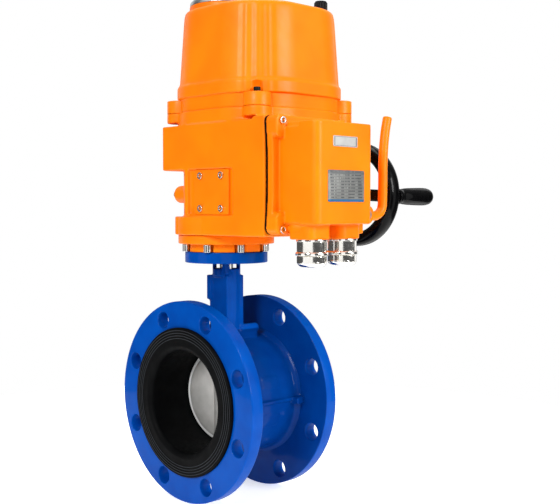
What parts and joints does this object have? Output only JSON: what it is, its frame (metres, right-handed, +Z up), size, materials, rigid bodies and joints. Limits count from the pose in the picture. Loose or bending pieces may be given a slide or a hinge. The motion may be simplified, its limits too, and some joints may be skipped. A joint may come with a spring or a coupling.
{
  "type": "motorised double-flanged butterfly valve",
  "caption": "Double-flanged butterfly valve with a rubber-lined bore and a steel disc, turned by an electric worm-gear actuator with a handwheel and clutch lever",
  "frame": {"origin": "where the pipe axis crosses the stem axis, at the middle of the disc", "axes": "+X along the pipe from the near flange to the far flange, towards the handwheel; +Z up the stem to the actuator; -Y towards the terminal box"},
  "size_m": [0.3619, 0.3239, 0.6232],
  "materials": {
    "blue_paint": "gloss enamel on a sand casting",
    "orange_paint": "semi-gloss powder coat on die-cast aluminium",
    "liner_rubber": "moulded, satin",
    "stainless": "machined and lightly brushed",
    "machined_steel": "plain machined",
    "black_steel": "black oxide",
    "bronze": "machined bronze",
    "nickel": "bright nickel plate",
    "bezel_metal": "satin anodised",
    "plate_metal": "printed foil plate",
    "clear_window": "clear moulded dome",
    "black_plastic": "moulded",
    "black_gloss": "polished moulding",
    "white_plastic": "printed film and moulding",
    "green_laminate": "solder mask"
  },
  "bodies": {
    "valve": {"valve_body": "blue_paint", "seat_liner": "liner_rubber", "upper_bush": "bronze", "lower_bush": "bronze", "stem_seal": "liner_rubber", "bottom_plug": "stainless", "base_plate": "orange_paint", "gear_housing": "orange_paint", "bearing_plate": "orange_paint", "plate_screw_1": "stainless", "plate_screw_2": "stainless", "plate_screw_3": "stainless", "plate_screw_4": "stainless", "stop_screw": "stainless", "top_cover": "orange_paint", "cover_gasket": "liner_rubber", "cover_screw_1": "black_steel", "cover_screw_2": "black_steel", "cover_screw_3": "black_steel", "cover_screw_4": "black_steel", "indicator_bezel": "bezel_metal", "indicator_window": "clear_window", "breather_cap": "black_plastic", "limit_switch": "black_plastic", "circuit_board": "green_laminate", "worm_bearing_near": "machined_steel", "worm_bearing_far": "machined_steel", "motor": "machined_steel", "motor_bracket": "machined_steel", "terminal_cover": "orange_paint", "terminal_gasket": "liner_rubber", "terminal_screw_1": "stainless", "terminal_screw_2": "stainless", "terminal_screw_3": "stainless", "terminal_screw_4": "stainless", "terminal_strip": "white_plastic", "cable_gland_1": "nickel", "cable_gland_2": "nickel", "gland_nut_1": "nickel", "gland_nut_2": "nickel", "nameplate": "plate_metal", "rating_label": "white_plastic"},
    "quarter_turn": {"disc": "stainless", "stem": "stainless", "disc_pin_1": "stainless", "disc_pin_2": "stainless", "output_shaft": "machined_steel", "worm_wheel": "bronze", "switch_cam": "black_plastic", "indicator_pointer": "black_plastic"},
    "worm": {"worm_shaft": "machined_steel", "drive_gear": "machined_steel", "handwheel": "black_gloss", "grip_spindle": "machined_steel", "hub_nut": "stainless"},
    "motor_rotor": {"motor_pinion": "machined_steel"},
    "grip": {"wheel_grip": "black_gloss"},
    "clutch": {"clutch_shaft": "machined_steel", "clutch_lever": "orange_paint"}
  },
  "joints": [
    {"name": "stem_turn", "type": "hinge", "parent": "valve", "child": "quarter_turn", "pos_m": [0, 0, 0], "axis": [0, 0, 1], "range_deg": [-10, 80]},
    {"name": "worm_turn", "type": "hinge", "parent": "valve", "child": "worm", "pos_m": [0.203, -0.039, 0.255], "axis": [1, 0, 0], "range_deg": [-410, 3210]},
    {"name": "motor_turn", "type": "hinge", "parent": "valve", "child": "motor_rotor", "pos_m": [0.083, -0.059, 0.28848], "axis": [1, 0, 0], "range_deg": [-9620, 1220]},
    {"name": "grip_turn", "type": "hinge", "parent": "worm", "child": "grip", "pos_m": [0.2149, -0.09892, 0.25186], "axis": [1, 0, 0], "continuous": true},
    {"name": "clutch_turn", "type": "hinge", "parent": "valve", "child": "clutch", "pos_m": [0.09, -0.15, 0.228], "axis": [0, 1, 0], "range_deg": [0, 25]}
  ],
  "couplings": [
    {"joint": "worm_turn", "follows": "stem_turn", "ratio": 40},
    {"joint": "motor_turn", "follows": "stem_turn", "ratio": -120}
  ]
}
